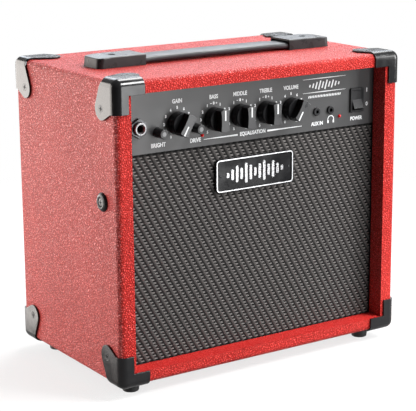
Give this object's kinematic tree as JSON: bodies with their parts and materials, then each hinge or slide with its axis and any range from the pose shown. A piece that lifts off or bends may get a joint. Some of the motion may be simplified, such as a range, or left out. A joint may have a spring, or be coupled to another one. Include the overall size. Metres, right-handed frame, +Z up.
{
  "type": "guitar amplifier",
  "caption": "Small guitar combo amplifier: vinyl-covered cabinet with corner protectors, top handle, control panel with knobs, jacks and switch, and a woven grille over two loudspeakers.",
  "frame": {"origin": "on the floor, under the middle of the cabinet", "axes": "+Z up, front faces -Y, +X to the right seen from the front"},
  "size_m": [0.3258, 0.1958, 0.3038],
  "materials": {
    "vinyl": "red pebbled vinyl, satin",
    "wood": "raw chipboard and plywood",
    "grille_cloth": "charcoal basket weave",
    "black_gloss": "glossy black",
    "black_steel": "black oxide",
    "rubber": "matt black rubber",
    "black_plastic": "fine satin black",
    "badge_black": "gloss black with silver rim",
    "badge_silver": "white relief",
    "panel_grey": "satin dark grey, printed",
    "zinc_steel": "zinc plated",
    "chrome": "polished",
    "red_lens": "clear red",
    "circuit_green": "solder mask",
    "component_black": "moulded",
    "aluminium": "extruded",
    "core_steel": "varnished laminations",
    "winding_tape": "yellow tape",
    "magnet_black": "ferrite and plated steel",
    "cone_paper": "pressed paper",
    "lead_insulation": "insulated lead",
    "back_board": "black painted board",
    "brass": "plated pins"
  },
  "bodies": {
    "cabinet": {"badge_emblem": "badge_silver", "badge_plate": "badge_black", "baffle_board": "wood", "battens": "wood", "board_components": "component_black", "bottom_board": "wood", "button_switches": "black_plastic", "chassis": "zinc_steel", "circuit_board": "circuit_green", "control_panel": "panel_grey", "corner_guards_front": "black_gloss", "corner_guards_rear": "black_gloss", "corner_screws": "black_steel", "cup_washers": "black_steel", "feet": "rubber", "grille_cloth": "grille_cloth", "handle_cap_left": "black_plastic", "handle_cap_right": "black_plastic", "handle_screws": "black_steel", "heat_sink": "aluminium", "inlet_pins": "brass", "inner_screws": "black_steel", "input_jack_body": "black_plastic", "input_jack_nut": "black_plastic", "input_jack_ring": "chrome", "mains_inlet": "black_plastic", "panel_lights": "red_lens", "pot_bodies": "zinc_steel", "pot_nuts": "zinc_steel", "power_chip": "component_black", "power_switch": "black_plastic", "rear_panel": "back_board", "rear_screws": "black_steel", "side_board_left": "wood", "side_board_right": "wood", "side_screws": "black_steel", "small_jacks": "black_plastic", "speaker_basket_left": "zinc_steel", "speaker_basket_right": "zinc_steel", "speaker_leads": "lead_insulation", "speaker_magnet_left": "magnet_black", "speaker_magnet_right": "magnet_black", "speaker_suspension_left": "rubber", "speaker_suspension_right": "rubber", "top_board": "wood", "transformer_core": "core_steel", "transformer_frame": "zinc_steel", "transformer_winding": "winding_tape", "vinyl_cover": "vinyl"},
    "knob_gain": {"knob_gain": "black_plastic"},
    "knob_bass": {"knob_bass": "black_plastic"},
    "knob_middle": {"knob_middle": "black_plastic"},
    "knob_treble": {"knob_treble": "black_plastic"},
    "knob_volume": {"knob_volume": "black_plastic"},
    "button_bright": {"button_bright": "black_plastic"},
    "button_drive": {"button_drive": "black_plastic"},
    "power_rocker": {"power_rocker": "black_plastic"},
    "handle_strap": {"handle_strap": "rubber"},
    "speaker_cone_left": {"speaker_cone_left": "cone_paper"},
    "speaker_cone_right": {"speaker_cone_right": "cone_paper"}
  },
  "joints": [
    {"name": "gain_turn", "type": "hinge", "parent": "cabinet", "child": "knob_gain", "pos_m": [-0.0853, -0.088, 0.2472], "axis": [0, 1, 0], "range_deg": [0, 300]},
    {"name": "bass_turn", "type": "hinge", "parent": "cabinet", "child": "knob_bass", "pos_m": [-0.0456, -0.088, 0.2472], "axis": [0, 1, 0], "range_deg": [-150, 150]},
    {"name": "middle_turn", "type": "hinge", "parent": "cabinet", "child": "knob_middle", "pos_m": [-0.0161, -0.088, 0.2472], "axis": [0, 1, 0], "range_deg": [-150, 150]},
    {"name": "treble_turn", "type": "hinge", "parent": "cabinet", "child": "knob_treble", "pos_m": [0.0134, -0.088, 0.2472], "axis": [0, 1, 0], "range_deg": [-150, 150]},
    {"name": "volume_turn", "type": "hinge", "parent": "cabinet", "child": "knob_volume", "pos_m": [0.0429, -0.088, 0.2472], "axis": [0, 1, 0], "range_deg": [0, 300]},
    {"name": "bright_press", "type": "slide", "parent": "cabinet", "child": "button_bright", "axis": [0, 1, 0], "range_m": [0, 0.0025], "stiffness_N_per_m": 300, "springref_m": -0.001},
    {"name": "drive_press", "type": "slide", "parent": "cabinet", "child": "button_drive", "axis": [0, 1, 0], "range_m": [0, 0.0025], "stiffness_N_per_m": 300, "springref_m": -0.001},
    {"name": "power_tilt", "type": "hinge", "parent": "cabinet", "child": "power_rocker", "pos_m": [0.1227, -0.077, 0.2476], "axis": [1, 0, 0], "range_deg": [0, 22]},
    {"name": "handle_lift", "type": "slide", "parent": "cabinet", "child": "handle_strap", "axis": [0, 0, 1], "range_m": [0, 0.0012]},
    {"name": "cone_left_travel", "type": "slide", "parent": "cabinet", "child": "speaker_cone_left", "axis": [0, 1, 0], "range_m": [-0.0025, 0.0025], "stiffness_N_per_m": 1500},
    {"name": "cone_right_travel", "type": "slide", "parent": "cabinet", "child": "speaker_cone_right", "axis": [0, 1, 0], "range_m": [-0.0025, 0.0025], "stiffness_N_per_m": 1500}
  ]
}
